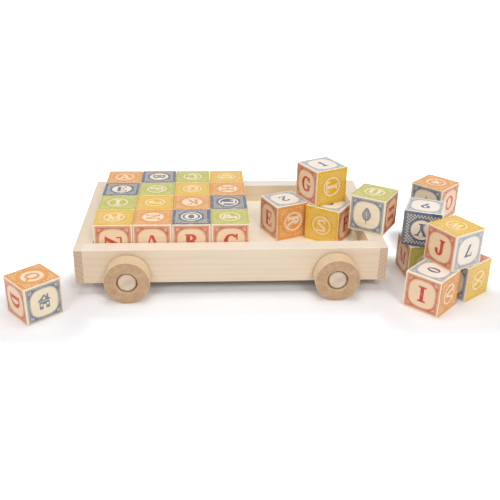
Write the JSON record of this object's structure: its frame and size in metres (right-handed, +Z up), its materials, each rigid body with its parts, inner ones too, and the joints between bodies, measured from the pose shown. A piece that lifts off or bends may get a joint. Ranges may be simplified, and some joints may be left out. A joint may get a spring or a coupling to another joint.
{
  "type": "alphabet block set with wagon",
  "caption": "Wooden alphabet cube blocks, some stored in a low four-wheeled wooden wagon and some loose in and beside it, for stacking and spelling play.",
  "frame": {"origin": "on the surface that the set stands on, under the middle of the whole set's outline", "axes": "+Z up, +X along the wagon to the right, +Y from the front of the wagon to its back"},
  "size_m": [0.55, 0.3096, 0.1232],
  "materials": {
    "wall_wood": "bare pale wood, sanded",
    "floor_wood": "bare pale wood, sanded",
    "wheel_wood": "turned wood, oiled",
    "peg_wood": "turned wood, bare",
    "block_yellow": "printed wood",
    "block_orange": "printed wood",
    "block_blue": "printed wood",
    "block_green": "printed wood"
  },
  "bodies": {
    "wagon": {"floor_panel": "floor_wood", "long_wall_front": "wall_wood", "long_wall_back": "wall_wood", "end_wall_left": "wall_wood", "end_wall_right": "wall_wood", "axle_peg_front_left": "peg_wood", "axle_peg_front_right": "peg_wood", "axle_peg_back_left": "peg_wood", "axle_peg_back_right": "peg_wood"},
    "wheel_front_left": {"wheel_front_left": "wheel_wood"},
    "wheel_front_right": {"wheel_front_right": "wheel_wood"},
    "wheel_back_left": {"wheel_back_left": "wheel_wood"},
    "wheel_back_right": {"wheel_back_right": "wheel_wood"},
    "block_m": {"block_m": "block_yellow"},
    "block_n": {"block_n": "block_orange"},
    "block_o": {"block_o": "block_blue"},
    "block_p": {"block_p": "block_green"},
    "block_i": {"block_i": "block_green"},
    "block_j": {"block_j": "block_yellow"},
    "block_k": {"block_k": "block_orange"},
    "block_l": {"block_l": "block_blue"},
    "block_e": {"block_e": "block_blue"},
    "block_f": {"block_f": "block_green"},
    "block_g": {"block_g": "block_yellow"},
    "block_h": {"block_h": "block_orange"},
    "block_a": {"block_a": "block_orange"},
    "block_b": {"block_b": "block_blue"},
    "block_c": {"block_c": "block_green"},
    "block_d": {"block_d": "block_yellow"},
    "block_q": {"block_q": "block_orange"},
    "block_r": {"block_r": "block_orange"},
    "block_s": {"block_s": "block_yellow"},
    "block_t": {"block_t": "block_yellow"},
    "block_u": {"block_u": "block_green"},
    "block_v": {"block_v": "block_orange"},
    "block_w": {"block_w": "block_yellow"},
    "block_x": {"block_x": "block_yellow"},
    "block_y": {"block_y": "block_blue"},
    "block_z": {"block_z": "block_green"},
    "block_star": {"block_star": "block_orange"},
    "block_moon": {"block_moon": "block_blue"}
  },
  "joints": [
    {"name": "wheel_front_left_spin", "type": "hinge", "parent": "wagon", "child": "wheel_front_left", "pos_m": [-0.14489, -0.09951, 0.02575], "axis": [0, 1, 0], "continuous": true},
    {"name": "wheel_front_right_spin", "type": "hinge", "parent": "wagon", "child": "wheel_front_right", "pos_m": [0.09311, -0.09951, 0.02575], "axis": [0, 1, 0], "continuous": true},
    {"name": "wheel_back_left_spin", "type": "hinge", "parent": "wagon", "child": "wheel_back_left", "pos_m": [-0.14489, 0.14454, 0.02575], "axis": [0, 1, 0], "continuous": true},
    {"name": "wheel_back_right_spin", "type": "hinge", "parent": "wagon", "child": "wheel_back_right", "pos_m": [0.09311, 0.14454, 0.02575], "axis": [0, 1, 0], "continuous": true},
    {"name": "block_m_lift", "type": "slide", "parent": "wagon", "child": "block_m", "axis": [0, 0, 1], "range_m": [0, 0.06]},
    {"name": "block_n_lift", "type": "slide", "parent": "wagon", "child": "block_n", "axis": [0, 0, 1], "range_m": [0, 0.06]},
    {"name": "block_o_lift", "type": "slide", "parent": "wagon", "child": "block_o", "axis": [0, 0, 1], "range_m": [0, 0.06]},
    {"name": "block_p_lift", "type": "slide", "parent": "wagon", "child": "block_p", "axis": [0, 0, 1], "range_m": [0, 0.06]},
    {"name": "block_i_lift", "type": "slide", "parent": "wagon", "child": "block_i", "axis": [0, 0, 1], "range_m": [0, 0.06]},
    {"name": "block_j_lift", "type": "slide", "parent": "wagon", "child": "block_j", "axis": [0, 0, 1], "range_m": [0, 0.06]},
    {"name": "block_k_lift", "type": "slide", "parent": "wagon", "child": "block_k", "axis": [0, 0, 1], "range_m": [0, 0.06]},
    {"name": "block_l_lift", "type": "slide", "parent": "wagon", "child": "block_l", "axis": [0, 0, 1], "range_m": [0, 0.06]},
    {"name": "block_e_lift", "type": "slide", "parent": "wagon", "child": "block_e", "axis": [0, 0, 1], "range_m": [0, 0.06]},
    {"name": "block_f_lift", "type": "slide", "parent": "wagon", "child": "block_f", "axis": [0, 0, 1], "range_m": [0, 0.06]},
    {"name": "block_g_lift", "type": "slide", "parent": "wagon", "child": "block_g", "axis": [0, 0, 1], "range_m": [0, 0.06]},
    {"name": "block_h_lift", "type": "slide", "parent": "wagon", "child": "block_h", "axis": [0, 0, 1], "range_m": [0, 0.06]},
    {"name": "block_a_lift", "type": "slide", "parent": "wagon", "child": "block_a", "axis": [0, 0, 1], "range_m": [0, 0.06]},
    {"name": "block_b_lift", "type": "slide", "parent": "wagon", "child": "block_b", "axis": [0, 0, 1], "range_m": [0, 0.06]},
    {"name": "block_c_lift", "type": "slide", "parent": "wagon", "child": "block_c", "axis": [0, 0, 1], "range_m": [0, 0.06]},
    {"name": "block_d_lift", "type": "slide", "parent": "wagon", "child": "block_d", "axis": [0, 0, 1], "range_m": [0, 0.06]},
    {"name": "block_q_lift", "type": "slide", "parent": "wagon", "child": "block_q", "axis": [0, 0, 1], "range_m": [0, 0.06]},
    {"name": "block_r_draw", "type": "slide", "parent": "wagon", "child": "block_r", "axis": [0, 1, 0], "range_m": [0, 0.05]},
    {"name": "block_s_lift", "type": "slide", "parent": "wagon", "child": "block_s", "axis": [0, 0, 1], "range_m": [0, 0.06]},
    {"name": "block_t_lift", "type": "slide", "parent": "block_s", "child": "block_t", "axis": [0, 0, 1], "range_m": [0, 0.06]},
    {"name": "block_u_lift", "type": "slide", "parent": "wagon", "child": "block_u", "axis": [0, 0, 1], "range_m": [0, 0.06]},
    {"name": "block_v_draw", "type": "slide", "parent": "wagon", "child": "block_v", "axis": [0, -1, 0], "range_m": [0, 0.05]},
    {"name": "block_w_lift", "type": "slide", "parent": "block_x", "child": "block_w", "axis": [0, 0, 1], "range_m": [0, 0.06]},
    {"name": "block_x_lift", "type": "slide", "parent": "wagon", "child": "block_x", "axis": [0, 0, 1], "range_m": [0, 0.06]},
    {"name": "block_y_lift", "type": "slide", "parent": "block_z", "child": "block_y", "axis": [0, 0, 1], "range_m": [0, 0.06]},
    {"name": "block_z_lift", "type": "slide", "parent": "wagon", "child": "block_z", "axis": [0, 0, 1], "range_m": [0, 0.06]},
    {"name": "block_star_lift", "type": "slide", "parent": "block_moon", "child": "block_star", "axis": [0, 0, 1], "range_m": [0, 0.06]},
    {"name": "block_moon_lift", "type": "slide", "parent": "wagon", "child": "block_moon", "axis": [0, 0, 1], "range_m": [0, 0.06]}
  ]
}
